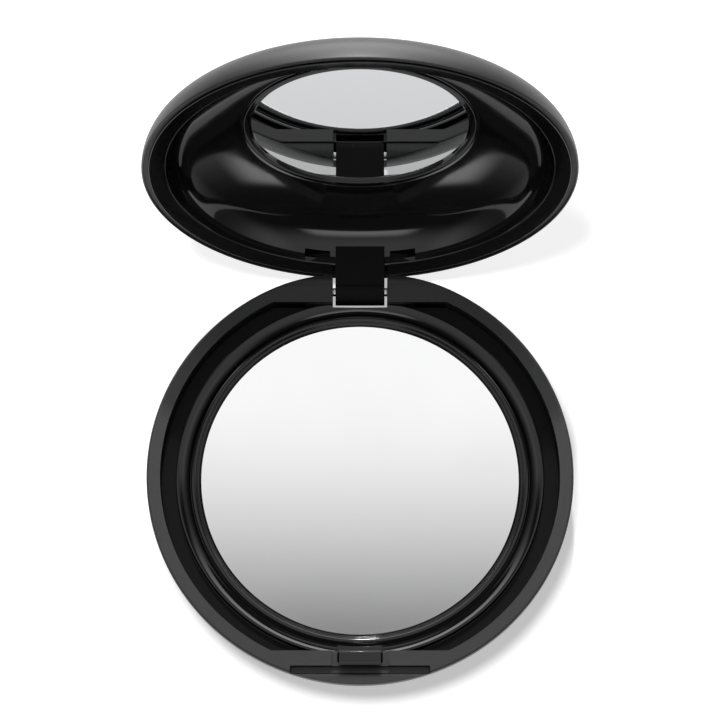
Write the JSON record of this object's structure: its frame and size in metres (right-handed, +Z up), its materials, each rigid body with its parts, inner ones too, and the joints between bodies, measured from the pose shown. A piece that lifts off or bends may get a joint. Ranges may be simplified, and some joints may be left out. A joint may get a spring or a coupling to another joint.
{
  "type": "mirror compact",
  "caption": "Round black clamshell compact: domed lid on a pinned back hinge, large mirror in the base, small mirror in the lid, front push-button latch",
  "frame": {"origin": "middle of the flat foot that the base stands on", "axes": "+Z up, +Y from the push button to the hinge, +X to the right seen from the button"},
  "size_m": [0.078, 0.103, 0.0803],
  "materials": {
    "satin_case": "satin black moulded plastic with a fine grain",
    "gloss_inner": "polished black plastic",
    "mirror_glass": "silvered glass",
    "adhesive_foam": "white adhesive foam",
    "steel": "bright drawn steel"
  },
  "bodies": {
    "base": {"base_shell": "satin_case", "inner_tray": "gloss_inner", "base_mirror": "mirror_glass", "base_mirror_pad": "adhesive_foam", "mirror_bezel": "gloss_inner", "hinge_pin": "steel", "button_spring": "steel"},
    "button": {"push_button": "satin_case", "latch_tongue": "gloss_inner"},
    "lid": {"lid_shell": "satin_case", "lid_liner": "gloss_inner", "lid_mirror": "mirror_glass", "lid_mirror_pad": "adhesive_foam", "lid_mirror_bezel": "gloss_inner"}
  },
  "joints": [
    {"name": "lid_hinge", "type": "hinge", "parent": "base", "child": "lid", "pos_m": [0, 0.0359, 0.0079], "axis": [1, 0, 0], "range_deg": [0, 101.5]},
    {"name": "button_press", "type": "slide", "parent": "base", "child": "button", "axis": [0, 1, 0], "range_m": [0, 0.0009], "stiffness_N_per_m": 400, "deforming": ["button_spring"]}
  ]
}
